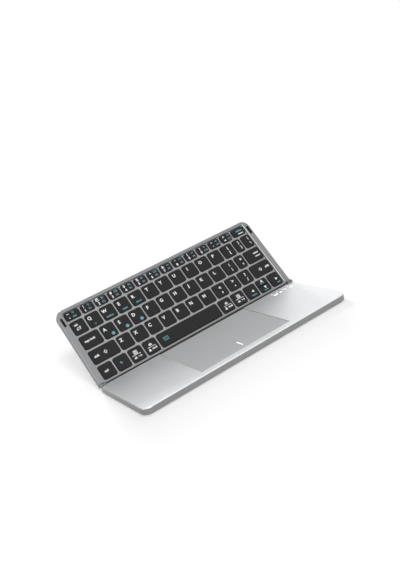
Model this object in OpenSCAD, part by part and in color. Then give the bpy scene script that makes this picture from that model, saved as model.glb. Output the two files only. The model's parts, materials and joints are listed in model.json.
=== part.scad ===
// Folding keyboard: a keyboard half and a palm half with a touchpad, hinged along one long edge.
// Each half has its own frame: x runs along the hinge, v away from the hinge across the top face,
// and w up out of the top face, which is at w = 0. Lengths are in millimetres.

/* [Keys] */
// Distance from one letter key to the next
key_pitch = 17.5; // [16.5:0.01:19]
// Distance from one row of keys to the next
row_pitch = 18.05; // [17:0.05:20]
// Gap between neighbouring keys of a row
key_gap = 2.2; // [1.8:0.1:3]
// Gap between two rows of keys
row_gap = 2.6; // [2.2:0.1:3.4]
// Depth of the short keys of the far row
short_key_depth = 9.2; // [8.4:0.1:15]
// Gap between the two half-height arrow keys
arrow_gap = 0.8; // [0.6:0.1:1.2]
// Radius of the corners of a key
key_corner_r = 2.2; // [0.8:0.1:2.4]
// How far the key tops lie below the rim
key_sink = 1; // [0.5:0.1:2]
// How far a key goes down
key_travel = 1.2; // [0.8:0.1:1.6]
// Height of a keycap's skirt
cap_height = 1.9; // [1.7:0.1:2.4]
// Thickness of a keycap
cap_wall = 0.7; // [0.5:0.05:0.8]
// Gap between a keycap and its hole
key_clearance = 0.3; // [0.2:0.05:0.4]

/* [Under the keys] */
// Gap left under a keycap that is pressed
press_clearance = 0.4; // [0.3:0.1:1]
// Thickness of the sheet that carries the rubber domes
sheet_t = 0.2; // [0.15:0.05:0.4]
// Thickness of the switch membrane
membrane_t = 0.3; // [0.2:0.05:0.5]
// Thickness of the support plate
plate_t = 0.6; // [0.4:0.1:1]
// Radius of a rubber dome at its foot
dome_r = 2; // [1.6:0.1:2.1]
// Height of the plunger under a keycap
plunger_h = 0.7; // [0.4:0.1:0.9]
// Width of a pair of scissor links
link_width = 10.5; // [9:0.1:12]
// Thickness of a scissor link
link_t = 0.5; // [0.3:0.1:0.6]
// Width of a scissor link's bars
link_bar = 0.8; // [0.5:0.1:0.9]

/* [Halves] */
// Width of the rim on each side of the keys
side_bezel = 8.3; // [7.8:0.1:11]
// Width of the rim between the hinge and the keys
hinge_bezel = 3.9; // [3.4:0.1:7]
// Width of the rim beyond the far row of keys
far_bezel = 4.7; // [3.5:0.1:9]
// Radius of the outer corners away from the hinge
corner_r = 8.5; // [5:0.5:11]
// Bevel along the upper outer edges
edge_bevel = 0.8; // [0.3:0.1:1.1]
// Bevel along the lower outer edges
lower_bevel = 0.6; // [0.3:0.1:1]
// Thickness of the side walls
wall = 1.5; // [1.2:0.1:1.8]
// Thickness of the wall along the hinge
hinge_wall = 1.2; // [1:0.1:1.3]
// Thickness of the palm rest's top
roof_t = 1.2; // [0.9:0.1:1.4]
// Thickness of the web between the keys
web_t = 0.9; // [0.6:0.1:1]
// Edge of the key field's recess around the outermost keys
recess_margin = 0.8; // [0.6:0.05:1]
// Thickness of the bottom covers
cover_t = 1.4; // [1.2:0.1:2]
// Clearance between an inner layer and the wall around it
fit_gap = 0.25; // [0.15:0.05:0.4]

/* [Hinge] */
// Angle that the keyboard half is raised from lying flat
open_angle = 51; // [20:1:80]
// Gap between the two halves along the hinge
hinge_gap = 0.8; // [0.6:0.1:1.4]
// Height of the hinge axis above the top faces
pivot_rise = 0.5; // [0.4:0.05:0.8]
// How far the keyboard half's edge reaches over the hinge gap along the touchpad
tongue_l = 0.9; // [0.5:0.1:1.1]
// Outer radius of a hinge knuckle
knuckle_r = 2; // [1.8:0.1:2.2]
// Length of each hinge knuckle
knuckle_l = 3.1; // [2.6:0.1:4]
// Gap between the knuckles, and around them
knuckle_gap = 0.25; // [0.2:0.05:0.4]
// Radius of the hinge pins
pin_r = 0.8; // [0.6:0.05:1]
// Running clearance of the hinge pins
pin_clearance = 0.03; // [0.02:0.01:0.08]
// Thickness of the hinge leaves
leaf_t = 0.8; // [0.6:0.1:1]
// Width of the hinge leaves
leaf_w = 5.2; // [4.4:0.1:5.6]
// How far the hinge leaves reach into each half
leaf_l = 16; // [13:0.5:20]
// Wall left outside the hinge leaves
leaf_wall = 0.9; // [0.8:0.1:1.1]
// Clearance around the hinge leaves
leaf_clearance = 0.1; // [0.05:0.05:0.2]
// Width of the flat cable that crosses the hinge
flex_w = 10; // [6:0.5:16]
// Distance from the main board's inner edge to the middle of the flat cable
flex_inset = 17.2; // [12:0.1:17.4]
// Thickness of the flat cable
flex_t = 0.15; // [0.1:0.05:0.2]

/* [Touchpad] */
// Width of the touchpad
pad_w = 108.8; // [90:0.2:116]
// Depth of the touchpad
pad_depth = 79.5; // [60:0.5:80]
// Distance from the middle of the hinge gap to the touchpad
pad_start = 2.2; // [1.9:0.1:3]
// Thickness of the touchpad plate
pad_t = 1.2; // [0.8:0.1:1.4]
// How far the touchpad lies below the palm rest
pad_sink = 0.15; // [0.05:0.05:0.3]
// Gap around the touchpad
pad_seam = 0.25; // [0.2:0.05:0.4]
// How far the front edge of the touchpad clicks down
pad_travel = 0.5; // [0.3:0.05:0.6]
// Thickness of the board under the touchpad
pad_board_t = 0.6; // [0.4:0.1:0.8]
// Edge of the touchpad plate that its board leaves bare
pad_board_inset = 4.4; // [3:0.1:8]
// Thickness of the bracket's steel sheet
bracket_t = 0.6; // [0.4:0.1:0.8]
// Width of the bracket's fixing lips
bracket_lip = 4; // [2.5:0.1:5]
// Space for the battery wires under the bracket
wire_space = 1.2; // [1.1:0.1:1.3]

/* [Inside the palm rest] */
// Space left above the battery
battery_clearance = 0.5; // [0.3:0.1:1]
// Depth of the battery
battery_depth = 64; // [40:1:66]
// Thickness of the ribs around the battery
rib_t = 0.8; // [0.6:0.1:1.2]
// Height of the ribs around the battery
rib_h = 1.5; // [1:0.1:2.5]
// Gap between the battery and its ribs
rib_gap = 0.3; // [0.1:0.05:0.4]
// Radius of a battery wire
wire_r = 0.4; // [0.3:0.05:0.45]
// Thickness of the main circuit board
board_t = 0.8; // [0.6:0.1:1]
// Depth of the main circuit board
board_depth = 68; // [62:1:72]
// Height of the stand-offs under the main board
standoff_h = 0.3; // [0.2:0.05:0.4]
// Radius of the indicator light guides
guide_r = 0.5; // [0.3:0.05:0.7]
// Distance from the palm rest's side to the nearest indicator light
guide_inset = 10.5; // [10.4:0.1:12]
// Distance between indicator lights
guide_pitch = 7.3; // [6:0.1:7.6]
// Distance from the hinge gap to the indicator lights
guide_v = 5; // [4.8:0.1:6]
// Width of the charging socket's shell
port_w = 8.94; // [8.9:0.01:9]
// Height of the charging socket's shell
port_h = 3.16; // [3.1:0.01:3.2]
// Length of the charging socket's shell
port_l = 7; // [6:0.1:8]
// Thickness of the charging socket's shell
port_wall = 0.3; // [0.2:0.05:0.35]
// Length of the power switch's slider along the edge
slider_l = 4; // [3:0.1:5]
// Height of the power switch's slider
slider_h = 1.4; // [1:0.1:1.6]
// How far the power switch slides
slider_travel = 2; // [1.5:0.1:2.5]
// How far the power switch's slider stands out of the edge
slider_rise = 0.4; // [0.2:0.1:0.8]

/* [Feet, bumpers and screws] */
// Height of the feet below the underside
foot_rise = 0.8; // [0.5:0.1:1.5]
// Length of a foot
foot_l = 17; // [10:0.5:24]
// Width of a foot
foot_w = 3.4; // [2.5:0.1:5]
// Depth of the pockets that hold the feet
foot_sink = 0.5; // [0.3:0.05:0.7]
// Distance from a foot's centre to the hinge gap or to the far edge
foot_inset = 7; // [5.5:0.5:12]
// Length of a bumper
bumper_l = 10.2; // [6:0.1:14]
// Width of a bumper
bumper_w = 2.2; // [1.5:0.1:3]
// Depth of the pockets that hold the bumpers
bumper_sink = 0.8; // [0.5:0.1:1]
// Gap between the bumpers and the palm rest when the keyboard is shut
bumper_clearance = 0.1; // [0.05:0.05:0.2]
// Radius of a screw's shank
screw_r = 0.75; // [0.6:0.05:0.9]
// Radius of a screw's head
screw_head_r = 1.4; // [1.2:0.1:1.6]
// Height of a screw's head
screw_head_h = 0.5; // [0.4:0.05:0.6]
// How far a cover screw reaches into the casing above it
screw_reach = 2.6; // [2:0.1:3]
// Clearance around the screws
screw_clearance = 0.05; // [0.03:0.01:0.1]
// Radius of the screw bosses
boss_r = 2.1; // [1.9:0.1:2.4]

/* [Hidden] */
$fn = 48;
EPS = 0.01;
CUT = 1;

// Widths of the keys of each row, in letter pitches, from the hinge outwards.
// FILL is a key that takes what the other keys leave of its row.
FILL = 0;
row_units = 13.463;
letters = [for (i = [1:10]) 1];
digits = [for (i = [1:12]) 0.941];
key_rows = [
    [1.01, 1.01, 1.01, 1.01, FILL, 1, 1, 1, 0.93, 0.91],
    concat([1.89], letters, [FILL]),
    concat([1.39], letters, [0.76, FILL]),
    concat([1], letters, [1, 0.7, FILL]),
    concat([1.1], digits, [FILL])
];
SPACE_ROW = 0;
FAR_ROW = 4;
ARROW_PAIR = 8;

// Which keys each key node holds, as [row, place in row].
single_keys = [
    ["key_control", [0, 0]], ["key_function", [0, 1]],
    ["key_option_left", [0, 2]], ["key_modifier_left", [0, 3]],
    ["key_space", [0, 4]],
    ["key_modifier_right", [0, 5]], ["key_option_right", [0, 6]],
    ["key_shift_left", [1, 0]], ["key_shift_right", [1, 11]],
    ["key_caps_lock", [2, 0]], ["key_enter", [2, 12]],
    ["key_tab", [3, 0]], ["key_backslash", [3, 13]],
    ["key_accent", [4, 0]], ["key_backspace", [4, 13]]
];
key_groups = concat(
    [for (key = single_keys) [key[0], [key[1]]]],
    [["keys_arrows", [[0, 7], [0, 8], [0, 9]]]],
    [["keys_punctuation", [[2, 11], [3, 11], [3, 12], [4, 11], [4, 12]]]],
    [for (c = [1:10]) [str("keys_column_", c), [for (r = [1:FAR_ROW]) [r, c]]]]
);

// Sizes that follow from the keys and the layers under them
key_depth = row_pitch - row_gap;
field_w = row_units * key_pitch - key_gap;
field_end = hinge_bezel + FAR_ROW * row_pitch + short_key_depth;
half_w = field_w + 2 * side_bezel;
half_d = field_end + far_bezel;
cap_bottom = -(key_sink + cap_height);
sheet_top = cap_bottom - key_travel - press_clearance;
membrane_top = sheet_top - sheet_t;
plate_top = membrane_top - membrane_t;
seam = plate_top - plate_t;
half_t = cover_t - seam;
web_top = -(key_sink + key_travel);
recess_w = field_w + 2 * recess_margin;
recess_start = hinge_bezel - recess_margin;
recess_end = field_end + recess_margin;
recess_r = 1.5 * recess_margin;
plunger_bottom = -(key_sink + cap_wall + plunger_h);
plunger_r = 0.6 * dome_r;
dome_top_r = 0.65 * dome_r;
dome_hollow_r = 0.75 * dome_r;
dome_hollow_top_r = 0.4 * dome_r;
// Room left beside a pair of scissor links, beyond its ends, and between the two links
link_side_gap = 0.3;
link_end_gap = 0.5;
link_gap = 0.1;

// Hinge
edge_start = hinge_gap / 2;
side_end = half_w / 2;
leaf_top = pivot_rise - knuckle_r;
leaf_end = side_end - leaf_wall;
neck_end = knuckle_r + knuckle_gap + leaf_t;
leaf_screw_x = leaf_end - leaf_w / 2;
leaf_screws = [0.42 * leaf_l, 0.8 * leaf_l];
leaf_screw_skin = 0.6;
leaf_screw_reach = leaf_t - leaf_top - leaf_screw_skin;
knuckles_l = 2 * knuckle_l + knuckle_gap;
flex_depth = -(membrane_top - membrane_t / 2);
flex_slot_h = 3 * flex_t;
flex_slot_w = flex_w + 0.6;
pin_set_back = 0.2;
// The tongue turns about the hinge axis above the palm half's hinge wall
tongue_r = roof_t + pivot_rise - knuckle_gap;
tongue_w = pad_w - 1.4;

// Cover screws, three along each side of each half, in bosses that run into the side walls
boss_overlap = 0.4;
boss_leaf_gap = 2;
screw_x = side_end - wall - boss_r + boss_overlap;
screw_first = leaf_l + boss_r + boss_leaf_gap;
screw_last = half_d - corner_r;
cover_screws = [screw_first, (screw_first + screw_last) / 2, screw_last];
screw_end_gap = 0.1;
screw_socket_depth = 0.3;

// Bumpers, nearer to the outer edge than to the keys
bumper_x = (field_w / 2 + side_end) / 2 + 0.6;
bumper_v = half_d - corner_r + 0.2 - bumper_l / 2;

// Touchpad and its bracket
pad_end = pad_start + pad_depth;
pad_bottom = -(pad_sink + pad_t);
bracket_bottom = seam + wire_space;
bracket_top = bracket_bottom + bracket_t;
bracket_play = 0.8;
bracket_inner = pad_w / 2 + bracket_play;
bracket_outer = bracket_inner + bracket_t + bracket_lip;
pivot_rail_v = pad_start + 0.6;
pivot_rail_w = 2;
pivot_rail_gap = 0.05;
click_switch_r = 2;
click_switch_v = pad_end - pad_board_inset - 2 * click_switch_r;
bracket_gap = 1;

// Battery, on the left of the touchpad
battery_x = screw_x - boss_r - rib_t - 2 * rib_gap;
battery_inner_x = bracket_outer + bracket_gap;
battery_start = half_d - wall - corner_r / 2 - battery_depth;
wire_w = seam + standoff_h + board_t / 2;
wire_v = battery_start + 10;
wire_pitch = 3 * wire_r;
wire_way = 15 * wire_r;

// Main board, on the right of the touchpad
board_x = bracket_outer + bracket_gap;
board_end_x = screw_x - boss_r - 0.8;
board_w = board_end_x - board_x;
board_start = 3.6;
board_top = seam + standoff_h + board_t;
standoff_r = 1.5;
standoff_x = [board_x + 4, board_end_x - 4];
standoff_v = [board_start + 12, board_start + board_depth - 6];
// Chips as [place across the board, place along it, width, depth, height], with the places as
// shares of the board
chips = [[0.35, 0.38, 10, 10, 0.9], [0.12, 0.65, 12, 9, 1.4], [0.75, 0.42, 5, 5, 0.9]];
flex_x = board_x + flex_inset;
flex_socket_l = 1.2;
flex_socket_w = flex_w + 1;
guide_x = side_end - guide_inset;
led_w = 1.6;
led_depth = 1;
led_h = 0.6;

// Charging socket and power switch, on tabs of the main board that reach out between the screws
tab_l = 10;
tab_end_x = side_end - wall - 0.6;
port_v = (cover_screws[0] + cover_screws[1]) / 2;
port_w_mid = board_top + port_h / 2;
port_clearance = 0.1;
port_set_back = 0.1;
port_back_t = 0.8;
port_tongue_t = 0.7;
port_tongue_inset = 1.1;
port_tongue_set_back = 1.2;
switch_v = (cover_screws[1] + cover_screws[2]) / 2 - 2;
switch_mid_v = switch_v + slider_travel / 2;
switch_w = board_top + 1.3;
switch_gap = 0.1;
switch_case_w = 4.2;
switch_case_h = 2.3;
switch_case_l = slider_l + slider_travel + 2;
slider_slot_gap = 0.15;

// Place of the whole: on its feet, with the origin under the middle of the outline
far_reach = (half_d - lower_bevel) * cos(open_angle) + (half_t + pivot_rise) * sin(open_angle);
hinge_y = (half_d - far_reach) / 2;
top_z = half_t + foot_rise;

silver = "#c8cacc";
deck_grey = "#9b9fa3";
under_grey = "#6f7376";
key_grey = "#333436";
rubber_black = "#1c1c1d";
steel = "#a9adb1";

other_nodes = [
    "palm_top_cover", "palm_bottom_cover", "palm_feet", "palm_screws",
    "touchpad_plate", "touchpad_board", "touchpad_click_switch", "touchpad_bracket",
    "battery_cell", "battery_wires", "main_circuit_board", "board_chips",
    "indicator_light_guides", "charging_socket", "power_switch_case", "power_switch_slider",
    "palm_hinge_leaf_left", "palm_hinge_leaf_right", "hinge_pin_left", "hinge_pin_right",
    "hinge_flat_cable",
    "keyboard_deck", "keyboard_bottom_cover", "keyboard_feet", "keyboard_bumpers",
    "keyboard_screws", "keyboard_hinge_leaf_left", "keyboard_hinge_leaf_right",
    "key_support_plate", "key_membrane", "key_rubber_domes", "key_scissor_links"
];

function sum(list, n) = n == 0 ? 0 : list[n - 1] + sum(list, n - 1);

// Units that key i of row r takes, and those before it
function units(r, i) =
    key_rows[r][i] == FILL ? row_units - sum(key_rows[r], len(key_rows[r])) : key_rows[r][i];
function units_before(r, i) = i < 1 ? 0 : units(r, i - 1) + units_before(r, i - 1);

// A keycap's footprint: [x, v, width, depth], with x and v at its middle
function cap_depth(r) = r == FAR_ROW ? short_key_depth : key_depth;
function whole_cap(r, i) = [
    -field_w / 2 + units_before(r, i) * key_pitch + (units(r, i) * key_pitch - key_gap) / 2,
    hinge_bezel + r * row_pitch + cap_depth(r) / 2,
    units(r, i) * key_pitch - key_gap,
    cap_depth(r)
];
function half_cap(cap, side) = [
    cap[0], cap[1] + side * (cap[3] + arrow_gap) / 4, cap[2], (cap[3] - arrow_gap) / 2
];
function is_pair(r, i) = r == SPACE_ROW && i == ARROW_PAIR;
function caps_at(r, i) =
    is_pair(r, i) ? [for (side = [-1, 1]) half_cap(whole_cap(r, i), side)] : [whole_cap(r, i)];
key_places = [for (r = [0:FAR_ROW], i = [0:len(key_rows[r]) - 1]) [r, i]];
all_caps = [for (place = key_places) each caps_at(place[0], place[1])];

// Frames of the two halves
module palm_frame() translate([0, hinge_y, top_z]) mirror([0, 1, 0]) children();
module keyboard_frame()
    translate([0, hinge_y, top_z + pivot_rise]) rotate([open_angle, 0, 0])
        translate([0, 0, -pivot_rise]) children();
module both_sides() for (side = [0, 1]) mirror([side, 0, 0]) children();

// A half's outline from w = 0 down by t, with its upper outer edges bevelled
module half_slab(t, bevel) {
    mid_v = half_d - corner_r;
    translate([0, mid_v, 0]) rotate([90, 0, 0]) linear_extrude(mid_v - edge_start)
        polygon([
            [-side_end, -t], [side_end, -t], [side_end, -bevel], [side_end - bevel, 0],
            [-side_end + bevel, 0], [-side_end, -bevel]
        ]);
    translate([corner_r - side_end, 0, 0]) rotate([90, 0, 90])
        linear_extrude(half_w - 2 * corner_r)
            polygon([
                [mid_v - 1, -t], [half_d, -t], [half_d, -bevel], [half_d - bevel, 0],
                [mid_v - 1, 0]
            ]);
    both_sides() translate([side_end - corner_r, mid_v, 0]) rotate_extrude()
        polygon([[0, -t], [corner_r, -t], [corner_r, -bevel], [corner_r - bevel, 0], [0, 0]]);
}

// A flat plate from v0 to v1 and from w = -t to 0, with rounded corners at its far end
module round_plate(width, v0, v1, t, r) {
    translate([-width / 2, v0, -t]) cube([width, v1 - v0 - r, t]);
    translate([r - width / 2, v0, -t]) cube([width - 2 * r, v1 - v0, t]);
    both_sides() translate([width / 2 - r, v1 - r, -t]) cylinder(r = r, h = t);
}

// A box with rounded upright edges, around the origin and from w = 0 up by h
module round_box(width, depth, h, r) {
    translate([-width / 2, r - depth / 2, 0]) cube([width, depth - 2 * r, h]);
    translate([r - width / 2, -depth / 2, 0]) cube([width - 2 * r, depth, h]);
    for (x = [-1, 1], v = [-1, 1])
        translate([x * (width / 2 - r), v * (depth / 2 - r), 0]) cylinder(r = r, h = h);
}

// A bar with round ends, along x, from w = 0 up by h
module slot_bar(l, width, h) {
    straight = l - width;
    translate([-straight / 2, -width / 2, 0]) cube([straight, width, h]);
    both_sides() translate([straight / 2, 0, 0]) cylinder(d = width, h = h);
}

// A screw with its head down, and the hole that takes it. The head's top is at w = 0.
module screw(reach) difference() {
    union() {
        translate([0, 0, -screw_head_h]) cylinder(r = screw_head_r, h = screw_head_h);
        cylinder(r = screw_r, h = reach);
    }
    translate([0, 0, -screw_head_h - CUT])
        cylinder(r = screw_r, h = CUT + screw_socket_depth, $fn = 6);
}
module screw_hole(reach) {
    translate([0, 0, -CUT]) cylinder(r = screw_head_r + screw_clearance, h = CUT);
    translate([0, 0, -EPS])
        cylinder(r = screw_r + screw_clearance, h = reach + screw_end_gap + EPS);
}
// Height of the cover screws' heads, flush with the underside
cover_head_w = screw_head_h - half_t;
cover_screw_reach = cover_t - screw_head_h + screw_reach;
module at_cover_screws()
    both_sides() for (v = cover_screws) translate([screw_x, v, cover_head_w]) children();
module at_leaf_screws()
    both_sides() for (v = leaf_screws) translate([leaf_screw_x, v, leaf_top - leaf_t]) children();
module half_screws() {
    at_cover_screws() screw(cover_screw_reach);
    at_leaf_screws() screw(leaf_screw_reach);
}

// Feet: four to a half, in shallow pockets of the bottom cover
module at_feet()
    both_sides() for (v = [foot_inset, half_d - foot_inset])
        translate([side_end - corner_r - foot_l / 2, v, 0]) children();
module half_feet()
    at_feet() translate([0, 0, -half_t - foot_rise]) slot_bar(foot_l, foot_w, foot_rise + foot_sink);

// What both bottom covers share
module bottom_cover_blank() difference() {
    translate([0, 0, -half_t]) mirror([0, 0, 1]) half_slab(cover_t, lower_bevel);
    at_feet() translate([0, 0, -half_t - CUT])
        slot_bar(foot_l + 2 * EPS, foot_w + 2 * EPS, CUT + foot_sink);
    at_cover_screws() screw_hole(cover_screw_reach);
}

// Hinge leaf of one side: a knuckle between x0 and x1, and a flat leaf under the casing's top.
// The knuckle stands on the axis, and a neck joins it to the leaf.
module hinge_leaf(x0, x1) {
    neck_start = max(x0, leaf_end - leaf_w);
    difference() {
        union() {
            translate([x0, 0, pivot_rise]) rotate([0, 90, 0])
                cylinder(r = knuckle_r, h = x1 - x0);
            translate([neck_start, 0, leaf_top - leaf_t])
                cube([min(x1, leaf_end) - neck_start, neck_end, 2 * leaf_t]);
            translate([leaf_end - leaf_w, neck_end - leaf_t, leaf_top - leaf_t])
                cube([leaf_w, leaf_l - neck_end + leaf_t, leaf_t]);
        }
        translate([x0 - CUT, 0, pivot_rise]) rotate([0, 90, 0])
            cylinder(r = pin_r + pin_clearance, h = x1 - x0 + 2 * CUT);
        for (v = leaf_screws) translate([leaf_screw_x, v, leaf_top - leaf_t - EPS])
            cylinder(r = screw_r + screw_clearance, h = leaf_t + 2 * EPS);
    }
}
module keyboard_leaf() hinge_leaf(side_end - knuckle_l, side_end);
module palm_leaf()
    hinge_leaf(side_end - knuckles_l, side_end - knuckle_l - knuckle_gap);
module hinge_pin()
    translate([side_end - knuckles_l, 0, pivot_rise]) rotate([0, 90, 0])
        cylinder(r = pin_r, h = knuckles_l - pin_set_back);

// What the hinge takes out of a casing: round the knuckles, and for the neck and the leaf
module hinge_cut() both_sides() {
    cut_l = knuckles_l + knuckle_gap;
    leaf_cut_v = edge_start + hinge_wall;
    leaf_cut_x = leaf_end - leaf_w - leaf_clearance;
    leaf_cut_w = leaf_w + 2 * leaf_clearance;
    translate([side_end - cut_l, 0, pivot_rise]) rotate([0, 90, 0])
        cylinder(r = knuckle_r + knuckle_gap, h = cut_l + CUT);
    translate([leaf_cut_x, 0, leaf_top - leaf_t - leaf_clearance])
        cube([leaf_cut_w, neck_end + leaf_clearance, 2 * leaf_t + 2 * leaf_clearance]);
    translate([leaf_cut_x, leaf_cut_v, seam - CUT])
        cube([leaf_cut_w, leaf_l + leaf_clearance - leaf_cut_v, CUT - seam + leaf_top]);
}
module leaf_screw_cut()
    at_leaf_screws() cylinder(r = screw_r + screw_clearance, h = leaf_screw_reach + screw_end_gap);

// The slot that lets the flat cable into a casing, as far as v
module flex_slot(v)
    translate([flex_x - flex_slot_w / 2, 0, -flex_depth - flex_slot_h / 2])
        cube([flex_slot_w, v, flex_slot_h]);

// ---- Palm half ----

// The touchpad's window, open towards the hinge
module pad_window()
    translate([-pad_w / 2 - pad_seam, 0, -roof_t])
        cube([pad_w + 2 * pad_seam, pad_end + pad_seam, CUT + roof_t]);

module at_guides()
    for (i = [0:3]) translate([guide_x - i * guide_pitch, guide_v, 0]) children();

module palm_top_cover() color(silver) palm_frame() difference() {
    half_slab(-seam, edge_bevel);
    // The hollow, which leaves the screw bosses and a pad above each hinge leaf
    difference() {
        translate([0, 0, -roof_t])
            round_plate(
                half_w - 2 * wall, edge_start + hinge_wall, half_d - wall,
                CUT - seam - roof_t, corner_r - wall
            );
        both_sides() for (v = cover_screws)
            translate([screw_x, v, seam]) cylinder(r = boss_r, h = -seam);
        both_sides() translate([leaf_end - leaf_w - wall, 0, leaf_top])
            cube([leaf_w + wall + leaf_wall, leaf_l + wall, -leaf_top]);
    }
    pad_window();
    at_cover_screws() screw_hole(cover_screw_reach);
    hinge_cut();
    leaf_screw_cut();
    at_guides() translate([0, 0, -roof_t - EPS]) cylinder(r = guide_r + EPS, h = roof_t + CUT);
    translate([side_end - wall - CUT, port_v, port_w_mid]) rotate([90, 0, 90])
        slot_bar(port_w + 2 * port_clearance, port_h + 2 * port_clearance, wall + 2 * CUT);
    // The slider's slot
    slot_l = slider_l + slider_travel + 2 * slider_slot_gap;
    slot_h = slider_h + 2 * slider_slot_gap;
    translate([side_end - wall - CUT, switch_mid_v - slot_l / 2, switch_w - slot_h / 2])
        cube([wall + 2 * CUT, slot_l, slot_h]);
    flex_slot(edge_start + hinge_wall + CUT);
}

module palm_bottom_cover() color(under_grey) palm_frame() {
    bottom_cover_blank();
    for (x = standoff_x, v = standoff_v)
        translate([x, v, seam - EPS]) cylinder(r = standoff_r, h = standoff_h + EPS);
    // Ribs that hold the battery, with a way out for its wires
    difference() {
        translate([-battery_x - rib_gap - rib_t, battery_start - rib_gap - rib_t, seam - EPS])
            cube([
                battery_x - battery_inner_x + 2 * (rib_gap + rib_t),
                battery_depth + 2 * (rib_gap + rib_t), rib_h + EPS
            ]);
        translate([-battery_x - rib_gap, battery_start - rib_gap, seam - CUT])
            cube([
                battery_x - battery_inner_x + 2 * rib_gap, battery_depth + 2 * rib_gap,
                rib_h + 2 * CUT
            ]);
        translate([-battery_inner_x - CUT, wire_v + (wire_pitch - wire_way) / 2, seam])
            cube([3 * CUT, wire_way, rib_h + CUT]);
    }
}

module palm_feet() color(rubber_black) palm_frame() half_feet();
module palm_screws() color(steel) palm_frame() half_screws();

module touchpad_plate() color("#b4b6b9") palm_frame()
    translate([-pad_w / 2, pad_start, pad_bottom]) cube([pad_w, pad_depth, pad_t]);

module touchpad_board() color("#2f5d46") palm_frame()
    translate([pad_board_inset - pad_w / 2, pad_start + pad_board_inset, pad_bottom - pad_board_t])
        cube([pad_w - 2 * pad_board_inset, pad_depth - 2 * pad_board_inset, pad_board_t]);

module touchpad_click_switch() color(steel) palm_frame()
    translate([0, click_switch_v, bracket_top + pad_travel])
        cylinder(r = click_switch_r, h = pad_bottom - pad_board_t - bracket_top - pad_travel);

module touchpad_bracket() color(steel) palm_frame() {
    depth = pad_depth + 2 * pad_seam + bracket_t;
    translate([-bracket_inner - bracket_t, pad_start, bracket_bottom])
        cube([2 * (bracket_inner + bracket_t), depth, bracket_t]);
    both_sides() {
        translate([bracket_inner, pad_start, bracket_bottom])
            cube([bracket_t, depth, -roof_t - bracket_bottom]);
        translate([bracket_inner, pad_start, -roof_t - bracket_t])
            cube([bracket_t + bracket_lip, depth, bracket_t]);
    }
    // The rail that the touchpad rocks on
    translate([-pad_w / 2 + pad_board_inset, pivot_rail_v, bracket_bottom])
        cube([
            pad_w - 2 * pad_board_inset, pivot_rail_w,
            pad_bottom - pivot_rail_gap - bracket_bottom
        ]);
}

module battery_cell() color("#2b3f63") palm_frame()
    translate([-battery_x, battery_start, seam])
        cube([battery_x - battery_inner_x, battery_depth, -seam - roof_t - battery_clearance]);

module battery_wires() color("#a03030") palm_frame()
    for (i = [0, 1]) translate([-battery_inner_x, wire_v + i * wire_pitch, wire_w])
        rotate([0, 90, 0]) cylinder(r = wire_r, h = battery_inner_x + board_x);

module main_circuit_board() color("#23583f") palm_frame() {
    translate([board_x, board_start, board_top - board_t])
        cube([board_w, board_depth, board_t]);
    for (v = [port_v, switch_mid_v])
        translate([board_x, v - tab_l / 2, board_top - board_t])
            cube([tab_end_x - board_x, tab_l, board_t]);
}

module board_chips() color("#26282b") palm_frame() {
    for (chip = chips)
        translate([board_x + chip[0] * board_w, board_start + chip[1] * board_depth, board_top])
            cube([chip[2], chip[3], chip[4]]);
    at_guides() translate([-led_w / 2, -led_depth / 2, board_top]) cube([led_w, led_depth, led_h]);
    // Socket of the flat cable, against the board's edge
    translate([flex_x - flex_socket_w / 2, board_start - flex_socket_l, board_top - board_t])
        cube([flex_socket_w, flex_socket_l, board_t]);
}

module indicator_light_guides() color("#eef6f8") palm_frame()
    at_guides() translate([0, 0, board_top + led_h]) cylinder(r = guide_r, h = -board_top - led_h);

module charging_socket() color(steel) palm_frame()
    translate([side_end - port_set_back - port_l, port_v, port_w_mid]) rotate([90, 0, 90]) {
        difference() {
            slot_bar(port_w, port_h, port_l);
            translate([0, 0, port_back_t])
                slot_bar(port_w - 2 * port_wall, port_h - 2 * port_wall, port_l);
        }
        translate([port_tongue_inset - port_w / 2, -port_tongue_t / 2, port_back_t / 2])
            cube([
                port_w - 2 * port_tongue_inset, port_tongue_t,
                port_l - port_tongue_set_back - port_back_t / 2
            ]);
    }

module power_switch_case() color("#3a3c3f") palm_frame()
    translate([
        tab_end_x - 2 * switch_gap - switch_case_w, switch_mid_v - switch_case_l / 2, board_top
    ])
        cube([switch_case_w, switch_case_l, switch_case_h]);

module power_switch_slider() color("#6a6d70") palm_frame()
    translate([tab_end_x - switch_gap, switch_v - slider_l / 2, switch_w - slider_h / 2])
        cube([side_end + slider_rise - tab_end_x + switch_gap, slider_l, slider_h]);

module palm_hinge_leaf_left() color(steel) palm_frame() mirror([1, 0, 0]) palm_leaf();
module palm_hinge_leaf_right() color(steel) palm_frame() palm_leaf();
module hinge_pin_left() color(steel) palm_frame() mirror([1, 0, 0]) hinge_pin();
module hinge_pin_right() color(steel) palm_frame() hinge_pin();

// The flat cable runs straight out of each half and bends around the hinge axis between them
module hinge_flat_cable() color("#b5793a") {
    bend_r = flex_depth + pivot_rise;
    palm_frame() translate([flex_x - flex_w / 2, 0, -flex_depth - flex_t / 2])
        cube([flex_w, board_start - flex_socket_l, flex_t]);
    keyboard_frame() translate([flex_x - flex_w / 2, -EPS, -flex_depth - flex_t / 2])
        cube([flex_w, recess_start + fit_gap + EPS, flex_t]);
    translate([flex_x - flex_w / 2, hinge_y, top_z + pivot_rise]) rotate([0, 90, 0])
        rotate_extrude(angle = open_angle)
            translate([bend_r - flex_t / 2, 0]) square([flex_t, flex_w]);
}

// ---- Keyboard half ----

module key_hole(cap)
    translate([cap[0], cap[1], web_top - web_t - EPS])
        round_box(
            cap[2] + 2 * key_clearance, cap[3] + 2 * key_clearance, web_t + 2 * EPS,
            key_corner_r + key_clearance
        );

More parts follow.
